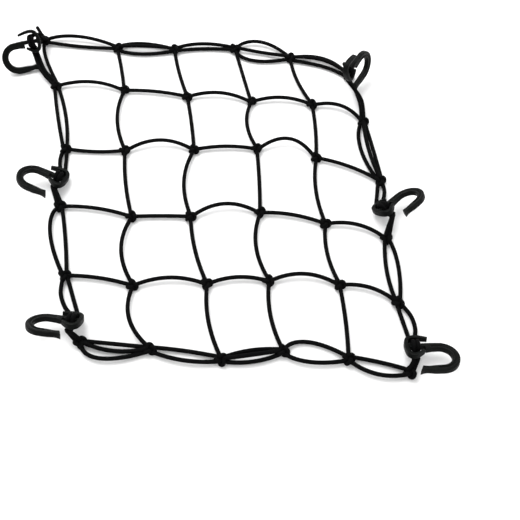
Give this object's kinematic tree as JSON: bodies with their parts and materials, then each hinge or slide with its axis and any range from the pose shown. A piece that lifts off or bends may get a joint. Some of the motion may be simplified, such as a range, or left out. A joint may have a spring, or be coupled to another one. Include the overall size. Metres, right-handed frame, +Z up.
{
  "type": "cargo net",
  "caption": "Square elastic cargo net of knotted round cord with a loose cord border and one-piece plastic hooks, laid out flat.",
  "frame": {"origin": "on the ground under the middle of the part's plan outline", "axes": "+X to the right along the cross cords, +Y away from the near edge, +Z up"},
  "size_m": [0.5586, 0.5252, 0.0585],
  "materials": {
    "cord": "fine braided black sheath",
    "hook_far_left_plastic": "satin moulded black",
    "hook_mid_left_plastic": "satin moulded black",
    "hook_near_left_plastic": "satin moulded black",
    "hook_far_right_plastic": "satin moulded black",
    "hook_mid_right_plastic": "satin moulded black",
    "hook_near_right_plastic": "satin moulded black"
  },
  "bodies": {
    "root": {"net": "cord", "hook_far_left": "hook_far_left_plastic", "hook_mid_left": "hook_mid_left_plastic", "hook_near_left": "hook_near_left_plastic", "hook_far_right": "hook_far_right_plastic", "hook_mid_right": "hook_mid_right_plastic", "hook_near_right": "hook_near_right_plastic"}
  },
  "joints": []
}
